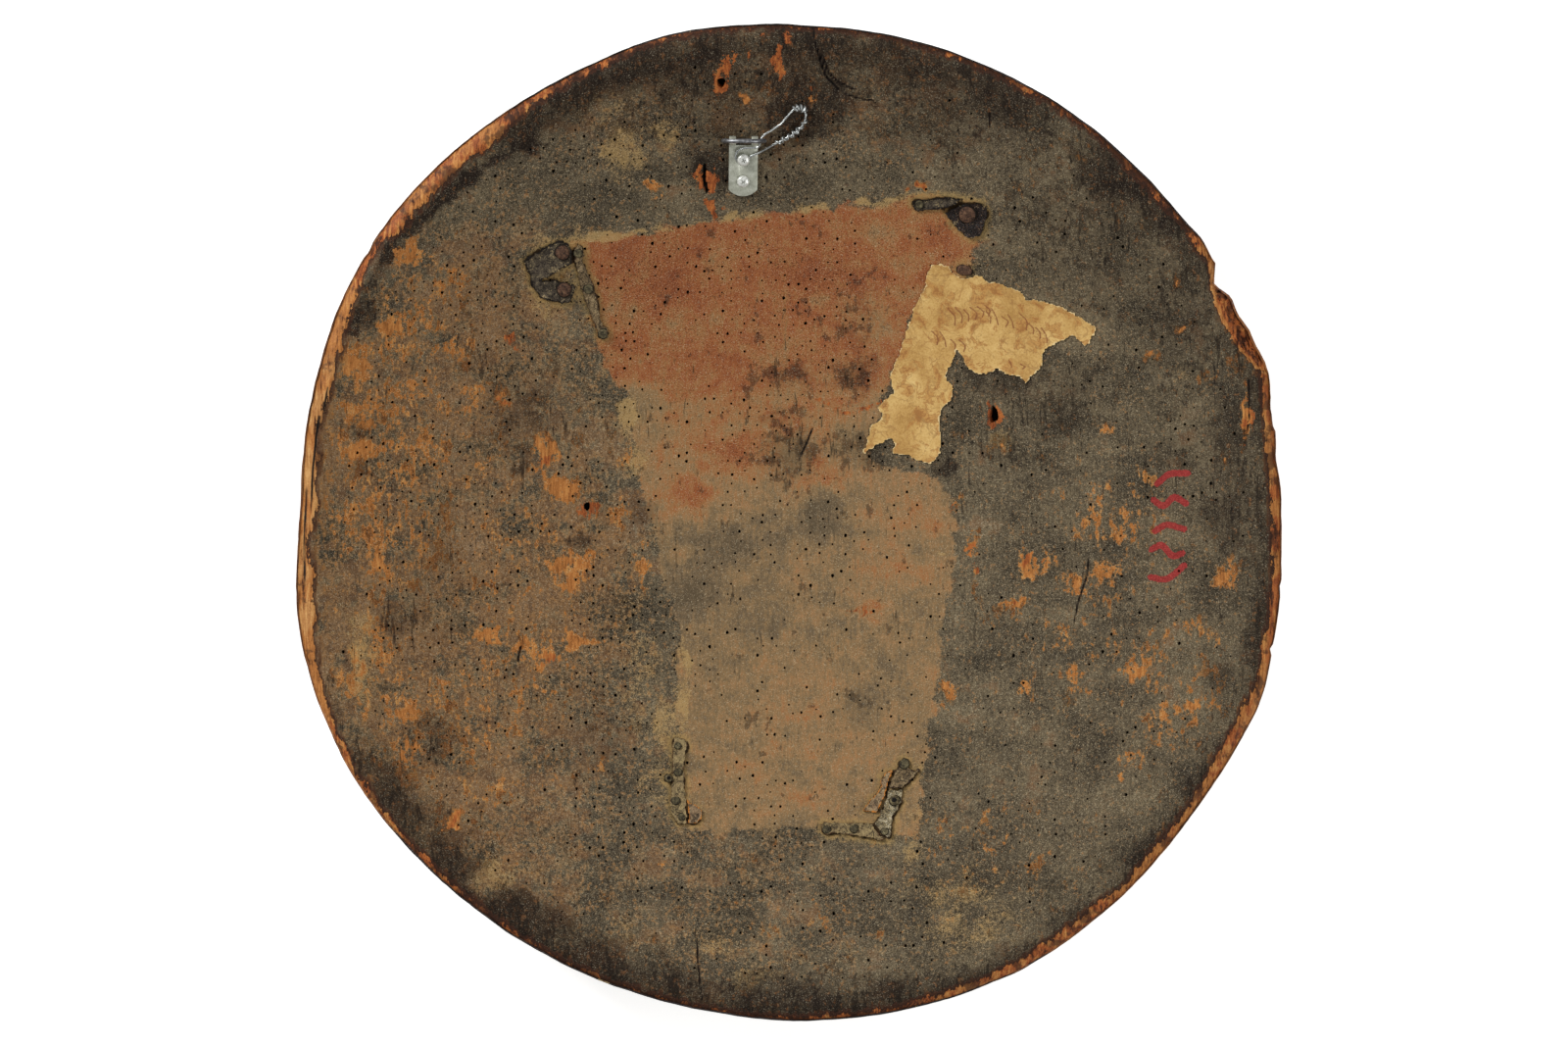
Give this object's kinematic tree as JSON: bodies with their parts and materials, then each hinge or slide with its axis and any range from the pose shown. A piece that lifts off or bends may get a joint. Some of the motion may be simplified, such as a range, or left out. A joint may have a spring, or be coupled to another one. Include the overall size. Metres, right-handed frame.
{
  "type": "round wooden shield",
  "caption": "Round dished wooden shield lying on its painted front, its worn back up, with strap remains, nails, a torn paper label and a ring hanger.",
  "frame": {"origin": "middle of the flat spot at the crown of the domed front, which the shield rests on", "axes": "+Z out of the hollow back, +Y towards the ring hanger (the top when hung), +X to the right seen from the back"},
  "size_m": [0.5542, 0.5599, 0.0714],
  "materials": {
    "old_wood": "matte",
    "painted_ground": "satin",
    "old_leather": "matte",
    "label_paper": "matte",
    "rusty_iron": "matte",
    "zinc_plate": "satin",
    "ring_steel": "satin",
    "wire_steel": "satin"
  },
  "bodies": {
    "shield": {"shield_body": "old_wood", "leather_patch_upper_left": "old_leather", "leather_strip_upper_left": "old_leather", "leather_strip_upper_right": "old_leather", "leather_patch_upper_right": "old_leather", "leather_strip_lower_left": "old_leather", "leather_strip_lower_right": "old_leather", "leather_corner_lower_right": "old_leather", "leather_end_lower_right": "old_leather", "leather_flap_lower_right": "old_leather", "paper_label": "label_paper", "nail_upper_left_1": "rusty_iron", "nail_upper_left_2": "rusty_iron", "nail_upper_right_1": "rusty_iron", "nail_upper_right_2": "rusty_iron", "nail_lower_left": "rusty_iron", "nail_lower_right": "rusty_iron", "tack_upper_left_1": "rusty_iron", "tack_upper_left_2": "rusty_iron", "tack_upper_left_3": "rusty_iron", "tack_upper_right": "rusty_iron", "tack_lower_left_1": "rusty_iron", "tack_lower_left_2": "rusty_iron", "tack_lower_left_3": "rusty_iron", "tack_lower_left_4": "rusty_iron", "tack_lower_right_1": "rusty_iron", "tack_lower_right_2": "rusty_iron", "tack_lower_right_3": "rusty_iron", "tack_lower_right_4": "rusty_iron", "hanger_strap": "zinc_plate", "hanger_screw_upper": "zinc_plate", "hanger_screw_lower": "zinc_plate", "hanging_wire": "wire_steel"},
    "ring": {"hanger_ring": "ring_steel"}
  },
  "joints": [
    {"name": "ring_swing", "type": "hinge", "parent": "shield", "child": "ring", "pos_m": [-0.02535, 0.21505, 0.05055], "axis": [0.9991, 0, -0.0423], "range_deg": [0, 80]}
  ]
}
